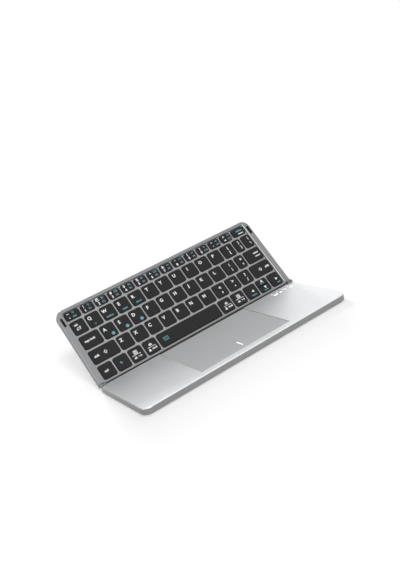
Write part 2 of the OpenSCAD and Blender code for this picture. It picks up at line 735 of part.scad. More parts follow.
// What the deck's edge adds along the touchpad, rounded about the hinge axis
module hinge_tongue() intersection() {
    translate([-tongue_w / 2, edge_start - tongue_l, -tongue_r])
        cube([tongue_w, tongue_l + EPS, tongue_r]);
    translate([-half_w / 2, 0, pivot_rise]) rotate([0, 90, 0]) cylinder(r = tongue_r, h = half_w);
}

module keyboard_deck() color(deck_grey) keyboard_frame() difference() {
    union() {
        half_slab(-seam, edge_bevel);
        hinge_tongue();
    }
    // The recess of the key field, the web under it and the hollow below
    recess_mid = (recess_start + recess_end) / 2;
    recess_depth = recess_end - recess_start;
    translate([0, recess_mid, web_top]) round_box(recess_w, recess_depth, CUT - web_top, recess_r);
    translate([0, recess_mid, seam - CUT])
        round_box(recess_w, recess_depth, CUT - seam + web_top - web_t, recess_r);
    for (place = key_places) key_hole(whole_cap(place[0], place[1]));
    at_bumpers() translate([0, 0, -bumper_sink]) rotate([0, 0, 90])
        slot_bar(bumper_l + 2 * EPS, bumper_w + 2 * EPS, bumper_sink + CUT);
    at_cover_screws() screw_hole(cover_screw_reach);
    hinge_cut();
    leaf_screw_cut();
    flex_slot(recess_start + CUT);
}

module at_bumpers()
    both_sides() translate([bumper_x, bumper_v, 0]) children();

module keyboard_bottom_cover() color(under_grey) keyboard_frame() bottom_cover_blank();
module keyboard_feet() color(rubber_black) keyboard_frame() half_feet();
module keyboard_screws() color(steel) keyboard_frame() half_screws();

module keyboard_bumpers() color(rubber_black) keyboard_frame()
    at_bumpers() translate([0, 0, -bumper_sink]) rotate([0, 0, 90])
        slot_bar(bumper_l, bumper_w, bumper_sink + 2 * pivot_rise - bumper_clearance);

module keyboard_hinge_leaf_left() color(steel) keyboard_frame() mirror([1, 0, 0]) keyboard_leaf();
module keyboard_hinge_leaf_right() color(steel) keyboard_frame() keyboard_leaf();

// A layer that lies under the keys, from the top level w down by t
module key_layer(w, t)
    translate([0, (recess_start + recess_end) / 2, w - t])
        round_box(
            recess_w - 2 * fit_gap, recess_end - recess_start - 2 * fit_gap, t,
            recess_r - fit_gap
        );

module key_support_plate() color(steel) keyboard_frame() key_layer(plate_top, plate_t);
module key_membrane() color("#c9b27a") keyboard_frame() key_layer(membrane_top, membrane_t);

module key_rubber_domes() color("#d8d8d2") keyboard_frame() {
    dome_h = plunger_bottom - sheet_top;
    difference() {
        union() {
            key_layer(sheet_top, sheet_t);
            for (cap = all_caps) translate([cap[0], cap[1], sheet_top - EPS])
                cylinder(r1 = dome_r, r2 = dome_top_r, h = dome_h + EPS);
        }
        for (cap = all_caps) translate([cap[0], cap[1], membrane_top - EPS])
            cylinder(r1 = dome_hollow_r, r2 = dome_hollow_top_r, h = dome_h - sheet_t);
    }
}

// One scissor link, a flat frame that leans one way about its middle
module scissor_link(width, depth, lean) rotate([lean, 0, 0])
    difference() {
        cube([width, depth, link_t], center = true);
        cube([width - 2 * link_bar, depth - 2 * link_bar, 2 * link_t], center = true);
    }

module scissor_pair(cap) {
    top = -(key_sink + cap_wall);
    depth = cap[3] - 2 * (cap_wall + link_end_gap);
    width = min(link_width, cap[2] - 2 * (cap_wall + link_side_gap));
    lean = asin((top - sheet_top - 2 * link_t) / depth);
    translate([cap[0], cap[1], (top + sheet_top) / 2]) {
        scissor_link(width, depth, lean);
        scissor_link(width - 2 * (link_bar + link_gap), depth, -lean);
    }
}

module key_scissor_links() color("#e4e4e0") keyboard_frame()
    for (place = key_places) if (!is_pair(place[0], place[1]))
        scissor_pair(whole_cap(place[0], place[1]));

module keycap(cap) translate([cap[0], cap[1], cap_bottom]) {
    inner_h = cap_height - cap_wall;
    difference() {
        round_box(cap[2], cap[3], cap_height, key_corner_r);
        translate([0, 0, -CUT])
            round_box(
                cap[2] - 2 * cap_wall, cap[3] - 2 * cap_wall, inner_h + CUT,
                max(0.2, key_corner_r - 2 * cap_wall)
            );
    }
    translate([0, 0, inner_h - plunger_h]) cylinder(r = plunger_r, h = plunger_h + EPS);
}

module key_group(places) color(key_grey) keyboard_frame()
    for (place = places, cap = caps_at(place[0], place[1])) keycap(cap);

palm_top_cover();
palm_bottom_cover();
palm_feet();
palm_screws();
touchpad_plate();
touchpad_board();
touchpad_click_switch();
touchpad_bracket();
battery_cell();
battery_wires();
main_circuit_board();
board_chips();
indicator_light_guides();
charging_socket();
power_switch_case();
power_switch_slider();
palm_hinge_leaf_left();
palm_hinge_leaf_right();
hinge_pin_left();
hinge_pin_right();
hinge_flat_cable();
keyboard_deck();
keyboard_bottom_cover();
keyboard_feet();
keyboard_bumpers();
keyboard_screws();
keyboard_hinge_leaf_left();
keyboard_hinge_leaf_right();
key_support_plate();
key_membrane();
key_rubber_domes();
key_scissor_links();
for (group = key_groups) key_group(group[1]);
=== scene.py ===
"""The looks of a folding keyboard: a keyboard half and a palm half with a touchpad.

Pieces are built in millimetres in the frame of the half that carries them: x along the hinge,
y away from the hinge for the keyboard half and towards it for the palm half, z up out of the
half's top face. Each frame's matrix then puts them in place, in metres.
"""

import json
import math

import bmesh
import bpy
from mathutils import Matrix, Vector

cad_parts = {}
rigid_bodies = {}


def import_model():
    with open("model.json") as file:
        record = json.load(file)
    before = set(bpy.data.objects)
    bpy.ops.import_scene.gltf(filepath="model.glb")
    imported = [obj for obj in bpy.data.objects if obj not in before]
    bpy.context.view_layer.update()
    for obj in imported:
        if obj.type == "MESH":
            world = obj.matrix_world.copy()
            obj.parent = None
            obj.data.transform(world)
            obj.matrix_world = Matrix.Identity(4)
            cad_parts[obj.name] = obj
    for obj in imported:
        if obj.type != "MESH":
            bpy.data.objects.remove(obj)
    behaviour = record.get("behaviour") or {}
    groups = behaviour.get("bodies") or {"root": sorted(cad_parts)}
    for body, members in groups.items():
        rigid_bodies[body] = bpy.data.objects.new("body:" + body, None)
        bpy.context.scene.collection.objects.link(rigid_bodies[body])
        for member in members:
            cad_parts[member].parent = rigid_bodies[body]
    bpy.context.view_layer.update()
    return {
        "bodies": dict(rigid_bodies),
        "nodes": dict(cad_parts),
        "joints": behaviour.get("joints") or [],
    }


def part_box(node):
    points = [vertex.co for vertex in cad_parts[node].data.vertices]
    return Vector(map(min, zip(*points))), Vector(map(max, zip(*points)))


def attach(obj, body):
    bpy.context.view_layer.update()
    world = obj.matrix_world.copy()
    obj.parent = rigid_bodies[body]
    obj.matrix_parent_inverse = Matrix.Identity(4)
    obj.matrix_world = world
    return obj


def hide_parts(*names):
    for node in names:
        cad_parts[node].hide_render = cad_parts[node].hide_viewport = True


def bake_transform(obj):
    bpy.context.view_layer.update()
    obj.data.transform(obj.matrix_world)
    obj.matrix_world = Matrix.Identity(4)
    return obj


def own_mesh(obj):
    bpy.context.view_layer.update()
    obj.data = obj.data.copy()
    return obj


MM = 0.001
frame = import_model()

# ---- Camera ----

SENSOR = 36.0
LENS = 51.89
CAMERA_PLACE = Vector((-0.35625, -0.70073, 0.32985))
CAMERA_AZIMUTH = math.radians(27.41)
CAMERA_ELEVATION = math.radians(18.90)
CAMERA_ROLL = math.radians(-18.03)


def make_camera():
    data = bpy.data.cameras.new("camera")
    data.sensor_width = SENSOR
    data.lens = LENS
    data.clip_start = 0.01
    data.clip_end = 20
    camera = bpy.data.objects.new("camera", data)
    bpy.context.scene.collection.objects.link(camera)
    towards = Matrix.Rotation(-CAMERA_AZIMUTH, 4, "Z") @ Matrix.Rotation(
        math.pi / 2 - CAMERA_ELEVATION, 4, "X"
    )
    camera.matrix_world = (
        Matrix.Translation(CAMERA_PLACE) @ towards @ Matrix.Rotation(CAMERA_ROLL, 4, "Z")
    )
    bpy.context.scene.camera = camera


make_camera()

# ---- Frames of the two halves ----

fold = next(j for j in frame["joints"] if j["name"] == "hinge_fold")
pivot = Vector(fold["pos_m"])
palm_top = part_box("palm_top_cover")[1].z
pivot_rise = pivot.z - palm_top
open_angle = -math.radians(fold["range_deg"][0])

PALM = Matrix.Translation((0, pivot.y, palm_top)) @ Matrix.Scale(MM, 4)
KEYBOARD = (
    Matrix.Translation(pivot)
    @ Matrix.Rotation(open_angle, 4, "X")
    @ Matrix.Translation((0, 0, -pivot_rise))
    @ Matrix.Scale(MM, 4)
)


def to_linear(value):
    return value / 12.92 if value <= 0.04045 else ((value + 0.055) / 1.055) ** 2.4


def colour(code):
    """A colour written as six hexadecimal digits, as a shader takes it."""
    return tuple(to_linear(int(code[i : i + 2], 16) / 255) for i in (0, 2, 4)) + (1,)


# ---- Materials ----

NOISE_LOW, NOISE_HIGH = 0.3, 0.7  # where nearly all of a noise texture's values lie
RELIEF = 0.0002
# how strongly the white print on the palm glows: a painted glow, not a lamp
PAINTED_GLOW = 0.9
materials = {}


def material(name, code, metallic=0.0, roughness=0.5, grain=2200, bump=0.04, spread=0.06,
             rough_spread=0.08, cloud=90, stretch=(1, 1, 1), **inputs):
    """A surface with fine grain in its bump, and drifting colour and roughness.

    grain and cloud are how often per metre the fine and the slow patterns repeat, and
    stretch draws both out along an axis, as brushing does.
    """
    made = bpy.data.materials.new(name)
    made.use_nodes = True
    nodes, links = made.node_tree.nodes, made.node_tree.links
    shader = nodes["Principled BSDF"]
    shader.inputs["Metallic"].default_value = metallic
    for key, value in inputs.items():
        shader.inputs[key.replace("_", " ")].default_value = value

    place = nodes.new("ShaderNodeTexCoord")
    mapping = nodes.new("ShaderNodeMapping")
    mapping.inputs["Scale"].default_value = stretch
    links.new(place.outputs["Object"], mapping.inputs["Vector"])

    def noise(scale, detail):
        texture = nodes.new("ShaderNodeTexNoise")
        texture.inputs["Scale"].default_value = scale
        texture.inputs["Detail"].default_value = detail
        links.new(mapping.outputs["Vector"], texture.inputs["Vector"])
        return texture.outputs["Fac"]

    fine, slow = noise(grain, 2), noise(cloud, 4)

    tint = nodes.new("ShaderNodeValToRGB")
    base = colour(code)
    tint.color_ramp.elements[0].position = NOISE_LOW
    tint.color_ramp.elements[1].position = NOISE_HIGH
    tint.color_ramp.elements[0].color = tuple(c * (1 - spread) for c in base[:3]) + (1,)
    tint.color_ramp.elements[1].color = tuple(min(1, c * (1 + spread)) for c in base[:3]) + (1,)
    links.new(slow, tint.inputs["Fac"])
    links.new(tint.outputs["Color"], shader.inputs["Base Color"])

    rough = nodes.new("ShaderNodeMapRange")
    rough.inputs["From Min"].default_value = NOISE_LOW
    rough.inputs["From Max"].default_value = NOISE_HIGH
    rough.inputs["To Min"].default_value = max(0.02, roughness - rough_spread)
    rough.inputs["To Max"].default_value = min(1, roughness + rough_spread)
    links.new(fine, rough.inputs["Value"])
    links.new(rough.outputs["Result"], shader.inputs["Roughness"])

    relief = nodes.new("ShaderNodeBump")
    relief.inputs["Strength"].default_value = bump
    relief.inputs["Distance"].default_value = RELIEF
    links.new(fine, relief.inputs["Height"])
    links.new(relief.outputs["Normal"], shader.inputs["Normal"])
    materials[name] = made
    return made


def make_materials():
    material("silver_casing", "f0f1f2", metallic=0.8, roughness=0.43, grain=4200, bump=0.03,
             spread=0.012, rough_spread=0.04)
    # painted shade: a darker copy of the silver for the casing's walls, which face away from the
    # light
    material("silver_wall_painted_shade", "919293", metallic=0.55, roughness=0.45, grain=4200, bump=0.03,
             spread=0.02)
    # painted highlight: a bright copy of the silver for the palm's front chamfer and the key
    # field's walls that face left
    material("silver_painted_highlight", "f0f0f0", metallic=0.75, roughness=0.3, grain=1800, bump=0.02,
             spread=0.01)
    # painted shade: a darker copy of the silver for the palm's side chamfers
    material("silver_side_painted_shade", "b4b5b6", metallic=0.4, roughness=0.4, grain=1800, bump=0.02,
             spread=0.01)
    material("deck_grey", "88898b", metallic=0.5, roughness=0.42, grain=4200, bump=0.04,
             spread=0.02)
    material("web_grey", "9c9d9e", metallic=0.4, roughness=0.45, grain=4200, bump=0.04,
             spread=0.02)
    # painted shade: a darker copy of the deck grey for its walls
    material("deck_wall_painted_shade", "7c7d7f", metallic=0.5, roughness=0.42, grain=4200, bump=0.04)
    # painted highlight: a lighter, glossier copy of the deck grey for its top chamfers
    material("deck_edge_painted_highlight", "a4a5a7", metallic=0.6, roughness=0.3, grain=1800, bump=0.02)
    material("cover_grey", "8a8b8e", metallic=0.3, roughness=0.5, grain=2600, bump=0.08)
    # painted shade: near-black for the gap along the hinge and the hollows of the casings, where
    # only shade falls
    material("painted_gap_shade", "0d0d0e", roughness=0.7)
    material("black_rubber", "0a0a0b", roughness=0.75, grain=1500, bump=0.15,
             Specular_IOR_Level=0.25)
    material("key_plastic", "2b2b2c", roughness=0.6, grain=4200, bump=0.08, spread=0.04,
             Specular_IOR_Level=0.12)
    material("legend_white", "f2f2f0", roughness=0.5, spread=0.02)
    material("legend_teal", "67a3a5", roughness=0.5, spread=0.04)
    material("legend_slate", "7d868f", roughness=0.5, spread=0.04)
    # painted glow: the white print of the indicator signs and the pad mark glows, though it is no
    # lamp
    material("painted_glow_white", "f4f6f7", roughness=0.4, spread=0.01, Emission_Color=(1, 1, 1, 1),
             Emission_Strength=PAINTED_GLOW)
    material("touch_surface", "cacbcc", metallic=0.15, roughness=0.5, grain=5200, bump=0.02,
             spread=0.01, rough_spread=0.04)
    material("leaf_steel", "737476", metallic=0.6, roughness=0.42, stretch=(0.3, 1, 1))
    material("bright_steel", "b9bbbe", metallic=1.0, roughness=0.28, stretch=(0.15, 1, 1))
    material("dark_steel", "4a4c4f", metallic=1.0, roughness=0.35)
    material("support_plate", "9a9da1", metallic=1.0, roughness=0.4, stretch=(0.2, 1, 1))
    material("membrane_film", "cfc7a8", roughness=0.35, spread=0.1, cloud=300)
    material("dome_rubber", "3a3a3c", roughness=0.6)
    material("link_plastic", "e6e5e0", roughness=0.45)
    material("circuit_board", "1f5a3c", roughness=0.4, spread=0.25, cloud=700)
    material("chip_black", "1d1e20", roughness=0.5, grain=3000, bump=0.1)
    material("battery_foil", "26354f", metallic=0.4, roughness=0.4, bump=0.12, grain=700)
    material("wire_red", "a3242a", roughness=0.45)
    material("light_guide", "f4f7f8", roughness=0.2, Transmission_Weight=0.3)
    material("switch_grey", "5a5d60", roughness=0.5)
    material("amber_film", "b97a36", roughness=0.3)


make_materials()

NODE_MATERIALS = {
    "palm_hinge_leaf_left": "leaf_steel", "palm_hinge_leaf_right": "leaf_steel",
    "keyboard_hinge_leaf_left": "leaf_steel", "keyboard_hinge_leaf_right": "leaf_steel",
    "hinge_pin_left": "dark_steel", "hinge_pin_right": "dark_steel",
    "palm_screws": "dark_steel", "keyboard_screws": "dark_steel",
    "touchpad_board": "circuit_board", "touchpad_click_switch": "bright_steel",
    "touchpad_bracket": "support_plate", "battery_cell": "battery_foil",
    "battery_wires": "wire_red", "main_circuit_board": "circuit_board",
    "board_chips": "chip_black", "indicator_light_guides": "light_guide",
    "charging_socket": "bright_steel", "power_switch_case": "chip_black",
    "key_support_plate": "support_plate", "key_membrane": "membrane_film",
}


def dress_nodes():
    for node, name in NODE_MATERIALS.items():
        mesh = frame["nodes"][node].data
        mesh.materials.clear()
        mesh.materials.append(materials[name])


# ---- Mesh helpers ----

FLAT_AREA = 2e-5  # square metres: larger faces count as level
MERGE = 0.0005
LEVEL_ANGLE = 0.6
LEAST_ROUND = 0.05


def add_piece(name, bm, place, body, surfaces, replaces=(), sharp=35, flat=False):
    """Makes an object of bm, whose numbers are in place's frame, that rides on body.

    flat keeps the large faces level, so that rounded edges don't bend the light on them.
    """
    bmesh.ops.recalc_face_normals(bm, faces=bm.faces)
    mesh = bpy.data.meshes.new(name)
    bm.to_mesh(mesh)
    bm.free()
    mesh.transform(place)
    for surface in surfaces:
        mesh.materials.append(materials[surface])
    mesh.set_sharp_from_angle(angle=math.radians(sharp))
    smooth = [not (flat and face.area > FLAT_AREA) for face in mesh.polygons]
    mesh.polygons.foreach_set("use_smooth", smooth)
    piece = bpy.data.objects.new(name, mesh)
    bpy.context.scene.collection.objects.link(piece)
    if body:
        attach(piece, body)
    if replaces:
        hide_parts(*replaces)
    return piece


def cad_copy(node, place):
    """The CAD node's mesh in the half's millimetres, with its flat faces made whole."""
    bm = bmesh.new()
    bm.from_mesh(frame["nodes"][node].data)
    bm.transform(place.inverted())
    bmesh.ops.remove_doubles(bm, verts=bm.verts, dist=MERGE)
    bmesh.ops.dissolve_limit(
        bm, angle_limit=math.radians(LEVEL_ANGLE), verts=bm.verts, edges=bm.edges
    )
    return bm


def sharp_edges(bm, angle=30):
    return [
        e for e in bm.edges
        if len(e.link_faces) == 2 and e.calc_face_angle(0) > math.radians(angle)
    ]


def soften(bm, width, edges=None, segments=2):
    bmesh.ops.bevel(
        bm, geom=sharp_edges(bm) if edges is None else edges, offset=width,
        offset_type="OFFSET", segments=segments, profile=0.5, affect="EDGES",
        clamp_overlap=False,
    )


def paint(bm, choose):
    """Gives each face the surface that choose names from the face's middle and normal."""
    bm.normal_update()
    for face in bm.faces:
        face.material_index = choose(face.calc_center_median(), face.normal)


def rounded_loop(bm, low, high, inset, radius, z, steps=5):
    """Vertices around a rectangle with round corners, inset on every side."""
    r = max(LEAST_ROUND, radius - inset)
    loop = []
    corners = (
        (high.x - inset - r, high.y - inset - r, 0), (low.x + inset + r, high.y - inset - r, 90),
        (low.x + inset + r, low.y + inset + r, 180), (high.x - inset - r, low.y + inset + r, 270),
    )
    for x, y, start in corners:
        for i in range(steps + 1):
            a = math.radians(start + 90 * i / steps)
            loop.append(bm.verts.new((x + r * math.cos(a), y + r * math.sin(a), z)))
    return loop


def skin(bm, loop, following):
    """Faces between two closed loops of as many vertices."""
    for i in range(len(loop)):
        j = (i + 1) % len(loop)
        bm.faces.new((loop[i], loop[j], following[j], following[i]))


# ---- Keys ----

KEY_SINK = 1
KEY_TRAVEL = 1.2
KEY_CORNER = 2.2
KEY_WALL = 0.7
KEY_ROOF = -(KEY_SINK + KEY_WALL)
KEY_FILLET = 0.35
FILLET_TURNS = (0, 30, 60, 90)
DISH = 0.12
DISH_REACH = 3.0
DISH_RINGS = (0.15, 0.3, 0.45, 0.6, 0.8)
PLUNGER_R = 1.2
PLUNGER_H = 0.7


def dish_drop(distance):
    """How far a key's top lies below its rim, at a distance from the nearest edge."""
    t = min(1, max(0, distance - KEY_FILLET) / DISH_REACH)
    smooth = 3 * t * t - 2 * t**3
    return DISH * smooth


def top_height(low, high, x, y):
    return high.z - dish_drop(min(x - low.x, high.x - x, y - low.y, high.y - y))


def keycap(bm, low, high):
    """A hollow cap with a rounded rim, a shallow dish and the plunger that meets the dome."""
    half = min(high.x - low.x, high.y - low.y) / 2
    loops = [rounded_loop(bm, low, high, 0, KEY_CORNER, low.z)]
    for turn in FILLET_TURNS:
        a = math.radians(turn)
        inset = KEY_FILLET * (1 - math.cos(a))
        z = high.z - KEY_FILLET * (1 - math.sin(a))
        loops.append(rounded_loop(bm, low, high, inset, KEY_CORNER, z))
    for share in DISH_RINGS:
        inset = KEY_FILLET + share * (half - KEY_FILLET)
        loops.append(
            rounded_loop(bm, low, high, inset, KEY_CORNER, high.z - dish_drop(inset))
        )
    for loop, following in zip(loops, loops[1:]):
        skin(bm, loop, following)
    bm.faces.new(loops[-1])
    inner = [
        rounded_loop(bm, low, high, KEY_WALL, KEY_CORNER - KEY_WALL, z)
        for z in (low.z, high.z - KEY_WALL)
    ]
    skin(bm, inner[0], inner[1])
    bm.faces.new(inner[1])
    skin(bm, loops[0], inner[0])
    middle = (low + high) / 2
    bmesh.ops.create_cone(
        bm, cap_ends=True, segments=16, radius1=PLUNGER_R, radius2=PLUNGER_R, depth=PLUNGER_H,
        matrix=Matrix.Translation((middle.x, middle.y, high.z - KEY_WALL - PLUNGER_H / 2)),
    )


def solid_boxes(node):
    """The box of each solid of a key node, by rows from the hinge and then from the left."""
    bm = bmesh.new()
    bm.from_mesh(frame["nodes"][node].data)
    bm.transform(KEYBOARD.inverted())
    bmesh.ops.remove_doubles(bm, verts=bm.verts, dist=MERGE)
    left, boxes = set(bm.verts), []
    while left:
        start = left.pop()
        island, edge = {start}, [start]
        while edge:
            for link in edge.pop().link_edges:
                for v in link.verts:
                    if v in left:
                        left.remove(v)
                        island.add(v)
                        edge.append(v)
        boxes.append((
            Vector([min(v.co[k] for v in island) for k in range(3)]),
            Vector([max(v.co[k] for v in island) for k in range(3)]),
        ))
    bm.free()
    return sorted(boxes, key=lambda b: (round(b[0].y, 1), b[0].x))


# ---- Marks: flat shapes, as (points, faces), that lie on a key or on the palm rest ----


def polygon(*points):
    return list(points), [tuple(range(len(points)))]


def bar(width, height):
    x, y = width / 2, height / 2
    return polygon((-x, -y), (x, -y), (x, y), (-x, y))


def disc(radius, sides=20):
    turns = [2 * math.pi * i / sides for i in range(sides)]
    return polygon(*[(radius * math.cos(a), radius * math.sin(a)) for a in turns])


MITRE = 0.4  # least cosine of a corner's half angle, so that sharp mitres stay short


def stroke(points, width, closed=False):
    """A line of one width through points, with mitred corners."""
    sides = []
    last = len(points) - 1
    for i, point in enumerate(points):
        p = Vector(point)
        before = Vector(points[i - 1]) if closed or i > 0 else None
        after = Vector(points[(i + 1) % len(points)]) if closed or i < last else None
        ways = [w.normalized() for w in ((p - before) if before is not None else None,
                                         (after - p) if after is not None else None)
                if w is not None]
        way = sum(ways, Vector((0, 0))).normalized()
        across = Vector((-way.y, way.x))
        reach = width / 2 / max(MITRE, abs(across.dot(Vector((-ways[0].y, ways[0].x)))))
        sides.append((p + across * reach, p - across * reach))
    out, faces = [], []
    for a, b in sides:
        out += [tuple(a), tuple(b)]
    for i in range(len(points) if closed else last):
        j = (i + 1) % len(points)
        faces.append((2 * i, 2 * j, 2 * j + 1, 2 * i + 1))
    return out, faces


def arc(radius, start, end, width, steps=10):
    turns = [math.radians(start + (end - start) * i / steps) for i in range(steps + 1)]
    return stroke([(radius * math.cos(a), radius * math.sin(a)) for a in turns], width)


def ring(radius, width, sides=20):
    turns = [2 * math.pi * i / sides for i in range(sides)]
    return stroke([(radius * math.cos(a), radius * math.sin(a)) for a in turns], width, True)


def frame_mark(width, height, line):
    x, y = width / 2, height / 2
    return stroke([(-x, -y), (x, -y), (x, y), (-x, y)], line, True)


def moved(mark, x=0, y=0, turn=0, scale=1):
    c, s = math.cos(math.radians(turn)) * scale, math.sin(math.radians(turn)) * scale
    points, faces = mark
    return [(c * a - s * b + x, s * a + c * b + y) for a, b in points], faces


def together(*marks):
    points, faces = [], []
    for some, those in marks:
        faces += [tuple(i + len(points) for i in face) for face in those]
        points += some
    return points, faces


glyphs = {}
FONT_WEIGHT = 0.04
CAPITAL = 0.7  # height of a capital of the built-in font at size 1


def text(words, height):
    """Words in the built-in font, around the origin, with capitals of that height."""
    if words not in glyphs:
        curve = bpy.data.curves.new("words", "FONT")
        curve.body = words
        curve.offset = FONT_WEIGHT
        curve.resolution_u = 2
        carrier = bpy.data.objects.new("words", curve)
        bpy.context.scene.collection.objects.link(carrier)
        bpy.context.view_layer.update()
        seen = carrier.evaluated_get(bpy.context.evaluated_depsgraph_get())
        mesh = bpy.data.meshes.new_from_object(seen)
        bm = bmesh.new()
        bm.from_mesh(mesh)
        bmesh.ops.remove_doubles(bm, verts=bm.verts, dist=MERGE)
        bm.verts.index_update()
        glyphs[words] = (
            [(v.co.x, v.co.y) for v in bm.verts],
            [tuple(v.index for v in face.verts) for face in bm.faces],
        )
        bm.free()
        bpy.data.objects.remove(carrier)
        bpy.data.curves.remove(curve)
        bpy.data.meshes.remove(mesh)
    points, faces = glyphs[words]
    xs, ys = [p[0] for p in points], [p[1] for p in points]
    mid = (min(xs) + max(xs)) / 2, (min(ys) + max(ys)) / 2
    scale = height / CAPITAL
    return [((a - mid[0]) * scale, (b - mid[1]) * scale) for a, b in points], faces


PRINT_RISE = 0.015
PRINT_SINK = 0.03


def print_mark(bm, mark, height):
    """Lays a mark on the surface height(x, y), as a thin solid that is let into it."""
    points, faces = mark
    top = [bm.verts.new((x, y, height(x, y) + PRINT_RISE)) for x, y in points]
    low = [bm.verts.new((x, y, height(x, y) - PRINT_SINK)) for x, y in points]
    sides = {}
    for face in faces:
        if len(set(face)) < 3:
            continue
        bm.faces.new([top[i] for i in face])
        bm.faces.new([low[i] for i in reversed(face)])
        for a, b in zip(face, face[1:] + face[:1]):
            sides[(a, b)] = True
    for a, b in sides:
        if (b, a) not in sides:
            bm.faces.new((top[a], low[a], low[b], top[b]))


# Small signs, about three millimetres across

LINE = 0.5


def triangle(size):
    """A solid arrowhead that points along x."""
    return polygon((-size / 2, -size * 0.55), (size / 2, 0), (-size / 2, size * 0.55))


def arrow(length, head=1.1):
    """A thin arrow that points along x."""
    tip = length / 2
    shaft = stroke([(-tip, 0), (tip - LINE, 0)], LINE)
    point = stroke([(tip - head, head), (tip, 0), (tip - head, -head)], LINE)
    return together(shaft, point)


def shift_arrow():
    outline = [(0, 1.9), (1.7, 0.1), (0.8, 0.1), (0.8, -1.6), (-0.8, -1.6), (-0.8, 0.1),
               (-1.7, 0.1)]
    return stroke(outline, LINE, True)


def sun(radius):
    ray = moved(bar(0.55, 0.25), x=radius + 0.65)
    return together(disc(radius, 12), *[moved(ray, turn=a) for a in range(0, 360, 45)])


def speaker(waves):
    body = polygon((-1.3, -0.45), (-0.7, -0.45), (0.1, -1.1), (0.1, 1.1), (-0.7, 0.45),
                   (-1.3, 0.45))
    rings = [arc(0.7 + 0.6 * i, -45, 45, 0.28, 6) for i in range(waves)]
    return together(body, *[moved(r, x=0.1) for r in rings])


def loupe():
    return together(ring(0.8, LINE), stroke([(0.6, -0.6), (1.5, -1.5)], LINE))


def double_arrow(way):
    return together(
        moved(triangle(1.3), x=-0.6 * way, turn=0 if way > 0 else 180),
        moved(triangle(1.3), x=0.75 * way, turn=0 if way > 0 else 180),
    )


def play_pause():
    return together(moved(triangle(1.5), x=-0.7), moved(bar(0.35, 1.6), x=0.7),
                    moved(bar(0.35, 1.6), x=1.4))


def keyboard_sign():
    dots = [moved(bar(0.4, 0.4), x=0.75 * i, y=0.35) for i in (-1, 0, 1)]
    return together(frame_mark(3.0, 2.0, 0.28), *dots, moved(bar(1.6, 0.3), y=-0.45))


# ---- Casings, covers and small parts ----

SOFT = 0.12
CHAMFER = 0.8
CORNER = 8.5
# widths of the near-black painted gap shade along the hinge and beside the touchpad
HINGE_SHADE_WIDTH = 1
PAD_X = 54.5
PAD_SHADE_WIDTH = 1.6
WEB_TOP = -(KEY_SINK + KEY_TRAVEL)
LEVEL = 0.97  # how much of a level face's normal points up
STEEP = 0.5
FACES_FRONT = 0.25
SLACK = 0.1
WEB_SLACK = 0.05
PART_PLACES = {
    "palm_half": (PALM, ["palm_top_cover", "palm_bottom_cover", "palm_feet", "palm_screws",
                         "palm_hinge_leaf_left", "palm_hinge_leaf_right", "charging_socket",
                         "hinge_pin_left", "hinge_pin_right", "power_switch_case",
                         "touchpad_bracket", "battery_cell", "board_chips",
                         "indicator_light_guides"]),
    "touchpad": (PALM, ["touchpad_plate"]),
    "power_switch": (PALM, ["power_switch_slider"]),
    "keyboard_half": (KEYBOARD, ["keyboard_deck", "keyboard_bottom_cover", "keyboard_feet",
                                 "keyboard_bumpers", "keyboard_screws",
                                 "keyboard_hinge_leaf_left", "keyboard_hinge_leaf_right"]),
}
PART_SURFACES = {
    # the palm's bottom cover takes the walls' darker painted-shade silver
    "palm_bottom_cover": "silver_wall_painted_shade", "palm_feet": "black_rubber", "palm_screws": "dark_steel",
    "keyboard_bottom_cover": "cover_grey", "keyboard_feet": "black_rubber",
    "keyboard_bumpers": "black_rubber", "keyboard_screws": "dark_steel",
    "touchpad_plate": "touch_surface", "power_switch_slider": "switch_grey",
}
SMALL_SOFT = {"touchpad_plate": 0.1, "keyboard_screws": 0.05, "palm_screws": 0.05,
              "hinge_pin_left": 0.1, "hinge_pin_right": 0.1, "battery_cell": 0.35,
              "keyboard_bumpers": 0.25, "keyboard_feet": 0.25, "palm_feet": 0.25,
              "board_chips": 0.08, "indicator_light_guides": 0.06}


def far_edge(node, place):
    """How far a node reaches along y, in the millimetres of its half."""
    return max((place.inverted() @ v.co).y for v in frame["nodes"][node].data.vertices)


HALF_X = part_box("keyboard_deck")[1].x / MM
palm_front = (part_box("palm_top_cover")[0].y - pivot.y) / MM
deck_far = far_edge("keyboard_deck", KEYBOARD)


def rim_distance(point, reach):
    """How far a point lies inside the outline of a half that reaches so far from the hinge."""
    x = abs(point.x) - (HALF_X - CORNER)
    y = abs(point.y) - (reach - CORNER)
    if x > 0 and y > 0:
        return CORNER - math.hypot(x, y)
    return CORNER - max(x, y)


def shade_palm(middle, normal):
    """Surface for a face of the palm casing: 0 top, 1 wall in painted shade, 2 front edge with a
    painted highlight, 3 painted shade of gaps and hollows, 4 side edge in painted shade.
    """
    # a near-black strip along the hinge and beside the touchpad: painted shade of the gap
    if middle.y > -HINGE_SHADE_WIDTH or middle.y > -PAD_SHADE_WIDTH and abs(middle.x) < PAD_X:
        return 3
    outer = rim_distance(middle, -palm_front) < CHAMFER + SLACK
    if abs(normal.z) < STEEP:
        # outer walls take the silver's painted wall shade; inner walls, in the hollows, take the
        # near-black painted gap shade
        return 1 if outer else 3
    if outer and normal.z < LEVEL and middle.z > -CHAMFER - SLACK:
        # the chamfer that faces front takes a painted highlight, the side chamfers painted shade
        return 2 if normal.y < -FACES_FRONT else 4
    return 0


